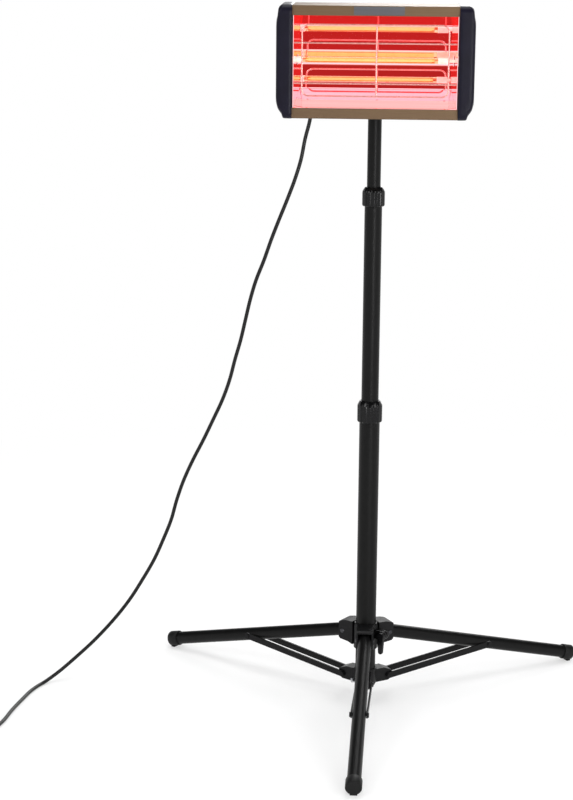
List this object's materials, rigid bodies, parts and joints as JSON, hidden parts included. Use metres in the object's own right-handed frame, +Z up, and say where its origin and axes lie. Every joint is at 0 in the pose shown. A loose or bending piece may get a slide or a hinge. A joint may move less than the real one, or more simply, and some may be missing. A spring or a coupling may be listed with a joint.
{
  "type": "infrared paint curing lamp",
  "caption": "Infrared heating head with a guarded tube lamp, tilting and swivelling on a telescopic mast with a folding three-legged stand",
  "frame": {"origin": "On the floor at the middle of the object's plan, cord left out: mast axis at x -6.3 mm, y 105.3 mm", "axes": "+Z up, front of the head and front leg face -Y, +X to the right seen from the front"},
  "size_m": [1.2216, 0.7292, 1.3135],
  "materials": {
    "satin_black_tube": "satin black powder coat on steel tube",
    "black_plastic": "moulded black nylon, faint grain",
    "black_rubber": "dull black moulded rubber",
    "painted_bar": "satin black paint on flat steel",
    "zinc_steel": "bright zinc-plated steel",
    "bronze_housing": "brushed bronze anodised aluminium",
    "navy_cap": "smooth blue-black enamel with a soft gloss",
    "mirror_reflector": "bright rolled reflector sheet lit red by the lamp",
    "guard_wire": "bright plated wire",
    "lamp_quartz": "clear quartz round a glowing filament",
    "white_ceramic": "white unglazed ceramic",
    "lead_sleeve": "white glass-fibre sleeve",
    "label_grey": "bare grey foil plate",
    "switch_black": "smooth black moulding",
    "switch_red": "smooth red moulding",
    "cord_black": "black rubber sheath, dull",
    "prong_nickel": "nickel-plated brass",
    "hot_filament": "glowing tungsten coil"
  },
  "bodies": {
    "base": {"outer_tube": "satin_black_tube", "lower_collet": "black_plastic", "lower_hub": "black_plastic", "lower_hub_screw": "zinc_steel", "cord_floor": "cord_black", "cord_coil": "cord_black", "coil_tie": "cord_black", "plug_body": "cord_black", "plug_prong_left": "prong_nickel", "plug_prong_right": "prong_nickel"},
    "hub": {"upper_hub": "black_plastic", "leg_pin_front": "zinc_steel", "leg_pin_right": "zinc_steel", "leg_pin_left": "zinc_steel"},
    "lever": {"hub_lever": "black_plastic"},
    "leg_front_body": {"leg_front": "satin_black_tube", "foot_front": "black_rubber"},
    "leg_right_body": {"leg_right": "satin_black_tube", "foot_right": "black_rubber"},
    "leg_left_body": {"leg_left": "satin_black_tube", "foot_left": "black_rubber"},
    "brace_front_body": {"brace_front": "painted_bar"},
    "brace_right_body": {"brace_right": "painted_bar"},
    "brace_left_body": {"brace_left": "painted_bar"},
    "lower_lock_ring": {"lower_lock": "black_plastic"},
    "mid": {"mid_tube": "satin_black_tube", "mid_bush": "black_plastic", "upper_collet": "black_plastic", "cord_mid": "cord_black"},
    "upper_lock_ring": {"upper_lock": "black_plastic"},
    "top": {"top_tube": "satin_black_tube", "top_bush": "black_plastic", "cord_top": "cord_black"},
    "swivel_screw_body": {"swivel_screw": "black_plastic"},
    "swivel": {"swivel_boss": "black_plastic", "cord_swivel": "cord_black"},
    "head": {"tilt_bracket": "painted_bar", "tilt_pin": "zinc_steel", "head_shell": "bronze_housing", "end_cap_left": "navy_cap", "end_cap_right": "navy_cap", "reflector": "mirror_reflector", "reflector_end_left": "mirror_reflector", "reflector_end_right": "mirror_reflector", "guard": "guard_wire", "lamp_glass": "lamp_quartz", "lamp_filament": "hot_filament", "lamp_end_left": "white_ceramic", "lamp_end_right": "white_ceramic", "lamp_holder_left": "white_ceramic", "lamp_holder_right": "white_ceramic", "terminal_block": "white_ceramic", "lead_long": "lead_sleeve", "lead_short": "lead_sleeve", "label_plate": "label_grey", "switch_bezel": "switch_black", "cable_gland": "switch_black", "cord_head": "cord_black"},
    "tilt_knob_body": {"tilt_knob": "black_plastic"},
    "rocker": {"switch_rocker": "switch_red"}
  },
  "joints": [
    {"name": "hub_slide", "type": "slide", "parent": "base", "child": "hub", "axis": [0, 0, 1], "range_m": [0, 0.36833]},
    {"name": "leg_front_fold", "type": "hinge", "parent": "hub", "child": "leg_front_body", "pos_m": [-0.00753, 0.06132, 0.126], "axis": [0.9996, -0.027, 0], "range_deg": [0, 71.32]},
    {"name": "brace_front_fold", "type": "hinge", "parent": "leg_front_body", "child": "brace_front_body", "pos_m": [-0.01359, -0.1626, 0.06732], "axis": [-0.9996, 0.027, 0], "range_deg": [0, 149.76]},
    {"name": "leg_right_fold", "type": "hinge", "parent": "hub", "child": "leg_right_body", "pos_m": [0.03234, 0.12627, 0.126], "axis": [-0.4764, 0.8792, 0], "range_deg": [0, 71.32]},
    {"name": "brace_right_fold", "type": "hinge", "parent": "leg_right_body", "child": "brace_right_body", "pos_m": [0.22929, 0.23298, 0.06732], "axis": [0.4764, -0.8792, 0], "range_deg": [0, 149.76]},
    {"name": "leg_left_fold", "type": "hinge", "parent": "hub", "child": "leg_left_body", "pos_m": [-0.04384, 0.12833, 0.126], "axis": [-0.5232, -0.8522, 0], "range_deg": [0, 71.32]},
    {"name": "brace_left_fold", "type": "hinge", "parent": "leg_left_body", "child": "brace_left_body", "pos_m": [-0.23473, 0.24553, 0.06732], "axis": [0.5232, 0.8522, 0], "range_deg": [0, 149.76]},
    {"name": "hub_lever_turn", "type": "hinge", "parent": "hub", "child": "lever", "pos_m": [0.02774, 0.08438, 0.1295], "axis": [-0.5232, -0.8522, 0], "range_deg": [0, 150]},
    {"name": "lower_lock_twist", "type": "hinge", "parent": "base", "child": "lower_lock_ring", "pos_m": [-0.00634, 0.1053, 0.564], "axis": [0, 0, 1], "range_deg": [0, 90]},
    {"name": "mid_slide", "type": "slide", "parent": "base", "child": "mid", "axis": [0, 0, 1], "range_m": [-0.355, 0.04], "deforming": ["cord_mid"]},
    {"name": "upper_lock_twist", "type": "hinge", "parent": "mid", "child": "upper_lock_ring", "pos_m": [-0.00634, 0.1053, 0.965], "axis": [0, 0, 1], "range_deg": [0, 90]},
    {"name": "top_slide", "type": "slide", "parent": "mid", "child": "top", "axis": [0, 0, 1], "range_m": [-0.095, 0.25], "deforming": ["cord_top"]},
    {"name": "swivel_screw_turn", "type": "hinge", "parent": "top", "child": "swivel_screw_body", "pos_m": [-0.00634, 0.12631, 1.092], "axis": [0, 1, 0], "continuous": true},
    {"name": "head_swivel", "type": "hinge", "parent": "top", "child": "swivel", "pos_m": [-0.00634, 0.1053, 1.106], "axis": [0, 0, 1], "range_deg": [-90, 90], "deforming": ["cord_swivel"]},
    {"name": "head_tilt", "type": "hinge", "parent": "swivel", "child": "head", "pos_m": [-0.00634, 0.1053, 1.13], "axis": [1, 0, 0], "range_deg": [-90, 45], "deforming": ["cord_head"]},
    {"name": "tilt_knob_turn", "type": "hinge", "parent": "head", "child": "tilt_knob_body", "pos_m": [0.02266, 0.1053, 1.13], "axis": [1, 0, 0], "continuous": true},
    {"name": "rocker_press", "type": "hinge", "parent": "head", "child": "rocker", "pos_m": [0.09366, 0.06331, 1.15], "axis": [1, 0, 0], "range_deg": [-16, 0]}
  ],
  "couplings": [
    {"joint": "leg_front_fold", "follows": "hub_slide", "rad_per_m": 3.3795},
    {"joint": "brace_front_fold", "follows": "hub_slide", "rad_per_m": 7.0966},
    {"joint": "leg_right_fold", "follows": "hub_slide", "rad_per_m": 3.3795},
    {"joint": "brace_right_fold", "follows": "hub_slide", "rad_per_m": 7.0966},
    {"joint": "leg_left_fold", "follows": "hub_slide", "rad_per_m": 3.3795},
    {"joint": "brace_left_fold", "follows": "hub_slide", "rad_per_m": 7.0966}
  ]
}
